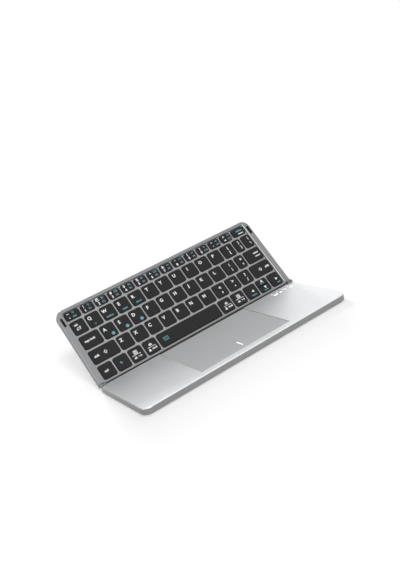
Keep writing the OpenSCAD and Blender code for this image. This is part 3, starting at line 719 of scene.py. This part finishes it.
def shade_deck(middle, normal):
    """Surface for a face of the deck: 0 top, 1 wall in painted shade, 2 edge with a painted
    highlight, 3 hinge side in painted gap shade, 4 web, 5 painted glint.
    """
    # a near-black strip along the hinge: painted shade of the gap
    if middle.y < HINGE_SHADE_WIDTH:
        return 3
    if abs(middle.z - WEB_TOP) < WEB_SLACK and normal.z > LEVEL:
        return 4
    if abs(normal.z) > LEVEL:
        return 0
    if abs(normal.z) < STEEP:
        return 1
    # the key field's walls that face left take a painted glint
    if rim_distance(middle, deck_far) > CHAMFER and normal.x < -STEEP:
        return 5
    return 2 if middle.z > -CHAMFER - SLACK else 1


CASINGS = {
    "palm_top_cover": (["silver_casing", "silver_wall_painted_shade", "silver_painted_highlight", "painted_gap_shade",
                        "silver_side_painted_shade"], shade_palm),
    "keyboard_deck": (["deck_grey", "deck_wall_painted_shade", "deck_edge_painted_highlight", "painted_gap_shade", "web_grey",
                       "silver_painted_highlight"], shade_deck),
}


TOP_SLACK = 0.01
TOP_LEVEL = 0.999


def split_top(bm, cuts):
    """Splits a casing's level top faces along x or y lines, where the painted gap shade begins."""
    for line, normal in cuts:
        near = [
            f for f in bm.faces
            if f.calc_center_median().z > -TOP_SLACK and f.normal.z > TOP_LEVEL
        ]
        geom = near + [e for f in near for e in f.edges] + [v for f in near for v in f.verts]
        bmesh.ops.bisect_plane(bm, geom=list(set(geom)), plane_co=line, plane_no=normal)


FIELD_CHAMFER = 0.5
FIELD_INSET = 4
FIELD_START = 2


def chamfer_key_field(bm):
    """Cuts the deck's top edge around the key field to a chamfer."""
    soften(bm, FIELD_CHAMFER, segments=1, edges=[
        e for e in sharp_edges(bm)
        if all(v.co.z > -TOP_SLACK and rim_distance(v.co, deck_far) > FIELD_INSET
               and v.co.y > FIELD_START for v in e.verts)
    ])


TOP_CUTS = {
    "palm_top_cover": (((0, -HINGE_SHADE_WIDTH, 0), (0, 1, 0)), ((0, -PAD_SHADE_WIDTH, 0), (0, 1, 0)),
                       ((PAD_X, 0, 0), (1, 0, 0)), ((-PAD_X, 0, 0), (1, 0, 0))),
    "keyboard_deck": (((0, HINGE_SHADE_WIDTH, 0), (0, 1, 0)),),
}


def build_parts():
    for body, (place, nodes) in PART_PLACES.items():
        for node in nodes:
            bm = cad_copy(node, place)
            if node in CASINGS:
                surfaces, choose = CASINGS[node]
                if node == "keyboard_deck":
                    chamfer_key_field(bm)
            else:
                surfaces, choose = [PART_SURFACES.get(node) or NODE_MATERIALS[node]], None
            soften(bm, SMALL_SOFT.get(node, SOFT))
            if choose:
                bm.normal_update()
                split_top(bm, TOP_CUTS[node])
                paint(bm, choose)
            add_piece(node + "_body", bm, place, body, surfaces, (node,),
                      flat=True)


# ---- Key field ----

KEY_NODES = sorted(node for node in frame["nodes"] if node + "_body" in frame["bodies"])
SHEET_TOP = -4.5
SHEET_T = 0.2
SHEET_CORNER = 1.5
SHEET_SOFT = 0.06
DOME_PROFILE = (
    (2.0, 0), (1.75, 0.35), (1.62, 0.8), (1.5, 1.25), (1.35, 1.45), (1.25, 1.8), (1.22, 2.1),
)
DOME_WALL = 0.35
DOME_HOLE = 0.5
LINK_WIDTH = 10.5
LINK_T = 0.5
LINK_BAR = 0.8
LINK_SIDE_GAP = 0.3
LINK_END_GAP = 0.5
LINK_GAP = 0.1
LINK_CORNER = 0.5
LINK_SOFT = 0.08
LINKED_DEPTH = 8  # shorter keys have a dome but no links


def spin(bm, profile, x, y, z, steps=24):
    """A closed ring of profile points, (radius, height), turned about an upright axis."""
    loops = []
    for r, h in profile:
        turns = [2 * math.pi * i / steps for i in range(steps)]
        loops.append([
            bm.verts.new((x + r * math.cos(a), y + r * math.sin(a), z + h)) for a in turns
        ])
    for loop, following in zip(loops, loops[1:] + loops[:1]):
        skin(bm, loop, following)


def dome(bm, x, y):
    """A rubber dome with a hollow below and an open top, on the sheet at x, y."""
    outer = list(DOME_PROFILE)
    inner = [(r - DOME_WALL, max(0, h - DOME_WALL)) for r, h in reversed(outer)]
    hole = [(DOME_HOLE, outer[-1][1]), (DOME_HOLE, inner[0][1])]
    spin(bm, outer + hole + inner, x, y, SHEET_TOP)


def link(bm, x, y, width, depth, lean):
    """A frame with round ends that leans about its middle."""
    height = (KEY_ROOF + SHEET_TOP) / 2
    place = Matrix.Translation((x, y, height)) @ Matrix.Rotation(lean, 4, "X")
    half = Vector((width / 2, depth / 2))
    hole = half - Vector((LINK_BAR, LINK_BAR))
    face, soft = LINK_T / 2, LINK_SOFT
    loops = [
        rounded_loop(bm, -size, size, inset, LINK_CORNER, z, steps=3)
        for size, z, inset in (
            (half, -face, soft), (half, -face + soft, 0),
            (half, face - soft, 0), (half, face, soft),
            (hole, face, -soft), (hole, face - soft, 0),
            (hole, -face + soft, 0), (hole, -face, -soft),
        )
    ]
    for loop, following in zip(loops, loops[1:] + loops[:1]):
        skin(bm, loop, following)
    for loop in loops:
        for v in loop:
            v.co = place @ v.co


def scissor(bm, low, high):
    """Two crossed frames that fit between a cap's walls, the narrow one inside the wide one."""
    depth = high.y - low.y - 2 * (KEY_WALL + LINK_END_GAP)
    width = min(LINK_WIDTH, high.x - low.x - 2 * (KEY_WALL + LINK_SIDE_GAP))
    lean = math.asin((KEY_ROOF - SHEET_TOP - 2 * LINK_T) / depth)
    x, y = (low.x + high.x) / 2, (low.y + high.y) / 2
    link(bm, x, y, width, depth, lean)
    link(bm, x, y, width - 2 * (LINK_BAR + LINK_GAP), depth, -lean)


def squashed(piece):
    """Gives the piece its own copy of its mesh."""
    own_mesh(piece)


def build_keys():
    domes_done, links_done = ("key_rubber_domes",), ("key_scissor_links",)
    for node in KEY_NODES:
        boxes = solid_boxes(node)
        caps, domes, links = bmesh.new(), bmesh.new(), bmesh.new()
        for low, high in boxes:
            keycap(caps, low, high)
            dome(domes, (low.x + high.x) / 2, (low.y + high.y) / 2)
            if high.y - low.y > LINKED_DEPTH:
                scissor(links, low, high)
        add_piece(node + "_caps", caps, KEYBOARD, node + "_body", ["key_plastic"], (node,))
        piece = add_piece(node + "_domes", domes, KEYBOARD, "keyboard_half", ["dome_rubber"],
                          domes_done)
        squashed(piece)
        piece = add_piece(node + "_links", links, KEYBOARD, "keyboard_half", ["link_plastic"],
                          links_done)
        squashed(piece)
        domes_done, links_done = (), ()


def build_sheet():
    """The flat sheet that the domes stand on."""
    bm = bmesh.new()
    vertices = frame["nodes"]["key_rubber_domes"].data.vertices
    corners = [KEYBOARD.inverted() @ v.co for v in vertices]
    low = Vector((min(c.x for c in corners), min(c.y for c in corners)))
    high = Vector((max(c.x for c in corners), max(c.y for c in corners)))
    loops = [
        rounded_loop(bm, low, high, inset, SHEET_CORNER, SHEET_TOP - drop)
        for inset, drop in ((SHEET_SOFT, 0), (0, SHEET_SOFT), (0, SHEET_T - SHEET_SOFT),
                            (SHEET_SOFT, SHEET_T))
    ]
    for loop, following in zip(loops, loops[1:]):
        skin(bm, loop, following)
    bm.faces.new(loops[0])
    bm.faces.new(loops[-1])
    add_piece("dome_sheet", bm, KEYBOARD, "keyboard_half", ["dome_rubber"])


# ---- Legends ----

SMALL_TEXT = 2.3
TINY_TEXT = 1.8
LETTER = 3.6
BRACKET = 3.0
DIGIT = 2.9
DIGIT_X, DIGIT_DRIFT = 3.35, 0.125
SIGN_X, SIGN_DRIFT = 9.0, 0.2
LETTER_X, LETTER_DRIFT = 3.8, 0.17
LETTER_Y = 5.1
PAIR_X = 8.6
FAR_UPPER = 2.3
FAR_SIGN_SCALE = 1.15
FAR_LOWER = 6.9
COLUMN_LETTERS = ("ZAQ1", "XSW2", "CDE3", "VFR4", "BGT5", "NHY6", "MJU7", ",KI8", ".LO9",
                  "/;P0")
FAR_ROW = "1234567890-="
SHIFTED = dict(zip("1234567890", "!@#$%^&*()"))
PAIRS = {",": "<", ".": ">", "/": "?", ";": ":", "'": '"', "[": "{", "]": "}", "\\": "|",
         "-": "_", "=": "+"}
FAR_SIGNS = {
    "1": (lambda: sun(0.55), "F1"), "2": (lambda: sun(0.9), "F2"),
    "3": (lambda: frame_mark(2.6, 1.7, LINE), "F3"), "4": (loupe, "F4"),
    "5": (lambda: moved(arrow(2.8), turn=180), "F5"), "6": (keyboard_sign, "F6"),
    "7": (lambda: double_arrow(-1), "F7"), "8": (play_pause, "F8"),
    "9": (lambda: double_arrow(1), "F9"), "0": (lambda: speaker(0), "F10"),
    "-": (lambda: speaker(1), "F11"), "=": (lambda: speaker(2), "F12"),
}
MODES = {"Q": "tv", "W": "desktop", "E": "tablet", "R": "phone"}
MODE_X = (6.7, 6.9, 7.7, 7.6)
MODE_Y = 12.4
DOTS = {"A": 10.1, "S": 9.7, "D": 10.1}
DOT_Y = 12.5
DOT_R = 1.9
SMALL_SIGNS = {",": 1.5, ".": 1.5, "'": 1.3, '"': 1.2, ";": 1.1, ":": 1.2}


def pair_marks(lower, x, upper_y=5.0, lower_y=11.2, size=LETTER):
    """Two signs of a key, one above the other, as (surface, mark, x, y from the top)."""
    upper = PAIRS.get(lower) or SHIFTED[lower]
    return [
        ("legend_white", text(sign, size * SMALL_SIGNS.get(sign, 1)), x, y)
        for sign, y in ((upper, upper_y), (lower, lower_y))
    ]


def far_marks(sign):
    symbol, label = FAR_SIGNS[sign]
    place = FAR_ROW.index(sign)
    sign_x = SIGN_X + SIGN_DRIFT * place
    return pair_marks(sign, DIGIT_X + DIGIT_DRIFT * place, FAR_UPPER, FAR_LOWER, DIGIT) + [
        ("legend_teal", moved(symbol(), scale=FAR_SIGN_SCALE), sign_x, FAR_UPPER),
        ("legend_slate", text(label, SMALL_TEXT), sign_x, FAR_LOWER),
    ]


def letter_marks(sign, column):
    if sign in PAIRS:
        return pair_marks(sign, PAIR_X)
    marks = [("legend_white", text(sign, LETTER), LETTER_X + LETTER_DRIFT * column, LETTER_Y)]
    if sign in MODES:
        marks.append(("legend_teal", text(MODES[sign], TINY_TEXT), MODE_X[column], MODE_Y))
    if sign in DOTS:
        marks.append(("legend_teal", disc(DOT_R), DOTS[sign], DOT_Y))
    return marks


def words(body, x, y, surface="legend_white"):
    return (surface, text(body, SMALL_TEXT), x, y)


def option_marks(x):
    """Marks of the option key, around its middle at x from the left."""
    menu = [moved(bar(2.6, 0.5), y=d) for d in (-0.9, 0, 0.9)]
    return [
        ("legend_white", together(frame_mark(3.8, 3.4, 0.55), *menu), x, 5.3),
        ("legend_white", bar(10.2, 0.5), x, 8.1),
        ("legend_white", text("alt", SMALL_TEXT), x - 2.6, 10.9),
        ("legend_white", arrow(4), x + 2.6, 10.9),
    ]


def modifier_marks(x):
    lift = together(moved(triangle(2.8), turn=90), moved(bar(2.8, LINE), y=-1.8))
    return [
        ("legend_white", text("alt", SMALL_TEXT + 0.3), x, 5.4),
        ("legend_white", bar(9.6, 0.5), x + 0.2, 8.2),
        ("legend_white", lift, x - 3.4, 10.4),
        ("legend_white", text("cmd", SMALL_TEXT), x + 2.3, 10.6),
    ]


def arrow_marks():
    """Marks of the four arrow keys, in the order of solid_boxes."""
    point = triangle(3.0)
    rows = (
        (moved(point, turn=180), 8.9, 8.1, "home", 8.5, 12.5),
        (moved(point, turn=270), 7.8, 2.7, "pgdn", 7.3, 5.6),
        (point, 9.3, 7.9, "end", 9.4, 12.5),
        (moved(point, turn=90), 7.6, 2.2, "pgup", 7.3, 5.2),
    )
    return [
        [("legend_white", mark, x, y), ("legend_teal", text(word, TINY_TEXT), word_x, word_y)]
        for mark, x, y, word, word_x, word_y in rows
    ]


def tab_sign():
    return together(moved(arrow(4.2), y=0.9), moved(bar(LINE, 2), x=2.3, y=0.9),
                    moved(arrow(4.2), turn=180, y=-0.9), moved(bar(LINE, 2), x=-2.3, y=-0.9))


def special_marks():
    """Marks of the keys that stand alone, by node."""
    return {
        "key_accent": [("legend_white", text("~", DIGIT), 4.0, FAR_UPPER),
                       ("legend_white", text("`", DIGIT * 1.3), 4.0, FAR_LOWER),
                       ("legend_teal", ring(0.9, 0.5), 10.0, FAR_UPPER),
                       words("esc", 9.9, FAR_LOWER, "legend_teal")],
        "key_backspace": [words("delete", 9.6, 3.3, "legend_teal"),
                          ("legend_white", bar(7, 1.0), 10.1, 7.3)],
        "key_tab": [words("tab", 5.4, 4.6), ("legend_white", tab_sign(), 6.4, 9.2)],
        "key_backslash": pair_marks("\\", 8.0, 4.6, 10.6, BRACKET),
        "key_caps_lock": [words("caps lock", 9.6, 7.4)],
        "key_enter": [words("enter", 14.8, 6.0), ("legend_white", bar(6.8, 1.1), 15.0, 10.2)],
        "key_shift_left": [words("shift", 6.2, 7.8), ("legend_white", shift_arrow(), 16.5, 7.8)],
        "key_shift_right": [("legend_white", shift_arrow(), 11.3, 8.0), words("shift", 20.5, 8.0)],
        "key_control": [words("ctrl", 6.4, 7.9)],
        "key_function": [words("fn", 6.4, 7.7, "legend_teal")],
        "key_option_left": option_marks(6.9),
        "key_modifier_left": modifier_marks(7.4),
        "key_space": [("legend_teal", moved(keyboard_sign(), scale=1.8), 8.2, 7.8)],
        "key_modifier_right": modifier_marks(8.6),
        "key_option_right": option_marks(8.0),
    }


def marks_of(node, special):
    """A list of marks for each solid of a key node."""
    if node in special:
        return [special[node]]
    if node == "keys_arrows":
        return arrow_marks()
    if node == "keys_punctuation":
        return [pair_marks("'", 6.9), pair_marks("[", 8.7, 4.6, 10.6, BRACKET),
                pair_marks("]", 6.7, 4.6, 10.6, BRACKET), far_marks("-"), far_marks("=")]
    column = int(node.rsplit("_", 1)[1]) - 1
    letters = COLUMN_LETTERS[column]
    return [letter_marks(sign, column) for sign in letters[:3]] + [far_marks(letters[3])]


def build_legends():
    special = special_marks()
    for node in KEY_NODES:
        boxes = solid_boxes(node)
        printed = {}
        for (low, high), marks in zip(boxes, marks_of(node, special)):
            for surface, mark, x, y in marks:
                bm = printed.setdefault(surface, bmesh.new())
                print_mark(
                    bm, moved(mark, x=low.x + x, y=high.y - y),
                    lambda a, b, low=low, high=high: top_height(low, high, a, b),
                )
        for surface, bm in printed.items():
            add_piece(node + "_" + surface, bm, KEYBOARD, node + "_body", [surface], sharp=30)


# ---- Marks on the palm half ----

SIGN_V = 11.3
SIGN_SCALE = 1.4
DASH_V = 6.6
DASH_SHIFT = 1.6
GUIDE_X = (92.6, 99.9, 107.2, 114.5)
PAD_MARK_V = 69.5
PAD_MARK_W, PAD_MARK_L = 0.85, 11.5


def battery_sign():
    return together(frame_mark(3.2, 1.8, 0.45), moved(bar(0.5, 1.1), x=1.9),
                    moved(bar(1.8, 1.1), x=-0.4))


def waves_sign():
    return together(disc(0.45, 10), *[arc(r, 45, 135, 0.45, 8) for r in (1.05, 1.8)])


def power_sign():
    return together(arc(1.2, -235, 55, 0.5, 16), moved(bar(0.5, 1.4), y=0.9))


def flat(x, y):
    return 0


def build_palm_marks():
    bm = bmesh.new()
    signs = (battery_sign(), text("A", 2.6), waves_sign(), power_sign())
    for x, sign in zip(GUIDE_X, signs):
        print_mark(bm, moved(sign, x=x, y=-SIGN_V, scale=SIGN_SCALE), flat)
        print_mark(bm, moved(bar(2.2, 0.9), x=x - DASH_SHIFT, y=-DASH_V), flat)
    # the signs and dashes glow with painted light
    add_piece("indicator_signs", bm, PALM, "palm_half", ["painted_glow_white"])
    bm = bmesh.new()
    print_mark(bm, moved(bar(PAD_MARK_W, PAD_MARK_L), y=-PAD_MARK_V), flat)
    add_piece("pad_mark", bm, PALM, "touchpad", ["painted_glow_white"])


# ---- Flat cable through the hinge ----

CABLE_DEPTH = 4.8
CABLE_T = 0.15
CABLE_STEPS = 12
CABLE_PALM_RUN = (-5.7, -4.3, -2.9, -1.5, 0)
CABLE_KEYBOARD_RUN = (0, 0.9, 1.7, 2.5, 3.35)


def build_cable():
    """A thin strip that leaves the palm half, turns about the hinge and ends in the deck."""
    low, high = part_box("hinge_flat_cable")
    radius = CABLE_DEPTH + pivot_rise / MM
    run = [PALM @ Vector((0, y, -CABLE_DEPTH)) for y in CABLE_PALM_RUN]
    for i in range(1, CABLE_STEPS):
        a = math.pi / 2 - open_angle * i / CABLE_STEPS
        run.append(pivot + MM * radius * Vector((0, math.cos(a), -math.sin(a))))
    run += [KEYBOARD @ Vector((0, y, -CABLE_DEPTH)) for y in CABLE_KEYBOARD_RUN]
    bm = bmesh.new()
    loops = []
    for i, point in enumerate(run):
        way = (run[min(i + 1, len(run) - 1)] - run[max(i - 1, 0)]).normalized()
        out = Vector((0, -way.z, way.y)) * MM * CABLE_T / 2
        loops.append([
            bm.verts.new((x, point.y + s * out.y, point.z + s * out.z))
            for x, s in ((low.x, 1), (high.x, 1), (high.x, -1), (low.x, -1))
        ])
    for loop, following in zip(loops, loops[1:]):
        skin(bm, loop, following)
    bm.faces.new(loops[0])
    bm.faces.new(loops[-1])
    piece = add_piece("flat_cable", bm, Matrix.Identity(4), None, ["amber_film"],
                      ("hinge_flat_cable",))
    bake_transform(piece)


# ---- Floor, world and lamps ----

WORLD_LIGHT = 0.45
FLOOR_GLOW = 0.25
FLOOR_SIZE = 12
FLOOR_SINK = 0.0002
FLOOR_COLOUR = "f4f4f4"
LAMPS = (  # name, azimuth, elevation, softness, strength
    ("front_light", 171, 40, 16, 1.3),
    ("back_light", -8, 22, 12, 1.2),
)


def camera_ray(nodes, links):
    """1 for rays from the camera, a mirror or a clear piece, else 0."""
    path = nodes.new("ShaderNodeLightPath")
    total = path.outputs["Is Camera Ray"]
    for name in ("Is Glossy Ray", "Is Transmission Ray"):
        plus = nodes.new("ShaderNodeMath")
        plus.operation = "MAXIMUM"
        links.new(total, plus.inputs[0])
        links.new(path.outputs[name], plus.inputs[1])
        total = plus.outputs["Value"]
    return total


def build_world():
    world = bpy.data.worlds.new("studio")
    bpy.context.scene.world = world
    world.use_nodes = True
    nodes, links = world.node_tree.nodes, world.node_tree.links
    strength = nodes.new("ShaderNodeMapRange")
    links.new(camera_ray(nodes, links), strength.inputs["Value"])
    strength.inputs["To Min"].default_value = WORLD_LIGHT
    strength.inputs["To Max"].default_value = 1.0
    links.new(strength.outputs["Result"], nodes["Background"].inputs["Strength"])
    nodes["Background"].inputs["Color"].default_value = (1, 1, 1, 1)


def build_floor():
    made = bpy.data.materials.new("floor")
    made.use_nodes = True
    shader = made.node_tree.nodes["Principled BSDF"]
    shader.inputs["Base Color"].default_value = colour(FLOOR_COLOUR)
    shader.inputs["Roughness"].default_value = 0.9
    shader.inputs["Specular IOR Level"].default_value = 0.1
    shader.inputs["Emission Color"].default_value = (1, 1, 1, 1)
    nodes, links = made.node_tree.nodes, made.node_tree.links
    strength = nodes.new("ShaderNodeMath")
    strength.operation = "MULTIPLY"
    strength.inputs[1].default_value = FLOOR_GLOW
    links.new(camera_ray(nodes, links), strength.inputs[0])
    links.new(strength.outputs["Value"], shader.inputs["Emission Strength"])
    bm = bmesh.new()
    half = FLOOR_SIZE / 2
    bm.faces.new([bm.verts.new((x * half, y * half, -FLOOR_SINK))
                  for x, y in ((-1, -1), (1, -1), (1, 1), (-1, 1))])
    mesh = bpy.data.meshes.new("floor")
    bm.to_mesh(mesh)
    bm.free()
    mesh.materials.append(made)
    floor = bpy.data.objects.new("floor", mesh)
    bpy.context.scene.collection.objects.link(floor)


def sun_lamp(name, azimuth, elevation, softness, strength):
    """A soft far lamp. Azimuth 0 is behind the object and 90 to its left, in degrees."""
    data = bpy.data.lights.new(name, "SUN")
    data.angle = math.radians(softness)
    data.energy = strength
    lamp = bpy.data.objects.new(name, data)
    a, e = math.radians(azimuth), math.radians(elevation)
    way = Vector((-math.sin(a) * math.cos(e), math.cos(a) * math.cos(e), math.sin(e)))
    lamp.rotation_euler = way.to_track_quat("Z", "Y").to_euler()
    bpy.context.scene.collection.objects.link(lamp)


dress_nodes()
build_parts()
build_keys()
build_sheet()
build_legends()
build_palm_marks()
build_cable()
build_world()
build_floor()
for lamp_values in LAMPS:
    sun_lamp(*lamp_values)
bpy.context.scene.view_settings.view_transform = "Standard"
